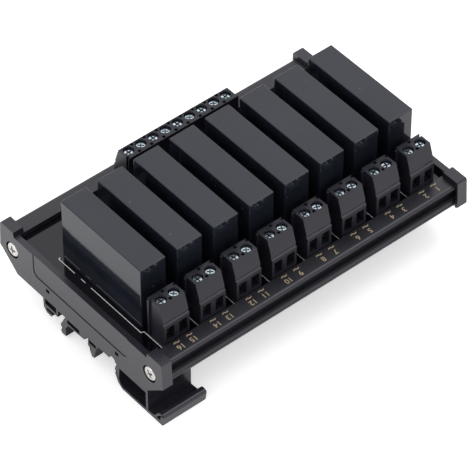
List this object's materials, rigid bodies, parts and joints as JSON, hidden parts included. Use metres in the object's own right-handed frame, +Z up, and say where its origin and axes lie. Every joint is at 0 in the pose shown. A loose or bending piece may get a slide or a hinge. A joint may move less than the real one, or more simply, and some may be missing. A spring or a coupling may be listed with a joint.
{
  "type": "relay module board",
  "caption": "Rail-mounting relay module: plain box relays and two-pole screw terminals on a black circuit board held in an extruded carrier with hooked, latching end plates.",
  "frame": {"origin": "bottom centre of the whole module, at the underside of the latches", "axes": "+X along the carrier, +Y from the two-pole terminals towards the long strip, +Z up away from the rail"},
  "size_m": [0.1262, 0.0822, 0.049],
  "materials": {
    "carrier_plastic": "satin extruded plastic, dark grey",
    "end_plastic": "matt moulded plastic, mid grey",
    "screw_steel": "bright zinc plated",
    "board_lacquer": "glossy black solder resist",
    "relay_plastic": "satin black moulded plastic",
    "potting": "matt black resin",
    "pin_metal": "tinned",
    "terminal_plastic": "matt charcoal moulded plastic",
    "terminal_steel": "bright nickel plated",
    "clamp_metal": "nickel plated"
  },
  "bodies": {
    "root": {"carrier_profile": "carrier_plastic", "end_plate_left": "end_plastic", "end_plate_right": "end_plastic", "plate_screws_left": "screw_steel", "plate_screws_right": "screw_steel", "circuit_board": "board_lacquer", "relay_1": "relay_plastic", "relay_2": "relay_plastic", "relay_3": "relay_plastic", "relay_4": "relay_plastic", "relay_5": "relay_plastic", "relay_6": "relay_plastic", "relay_7": "relay_plastic", "relay_8": "relay_plastic", "relay_potting": "potting", "relay_pins": "pin_metal", "front_terminal_1": "terminal_plastic", "front_terminal_2": "terminal_plastic", "front_terminal_3": "terminal_plastic", "front_terminal_4": "terminal_plastic", "front_terminal_5": "terminal_plastic", "front_terminal_6": "terminal_plastic", "front_terminal_7": "terminal_plastic", "front_terminal_8": "terminal_plastic", "rear_terminal_strip": "terminal_plastic", "front_terminal_screws": "terminal_steel", "rear_terminal_screws": "terminal_steel", "front_terminal_clamps": "clamp_metal", "rear_terminal_clamps": "clamp_metal", "front_terminal_pins": "pin_metal", "rear_terminal_pins": "pin_metal"}
  },
  "joints": []
}
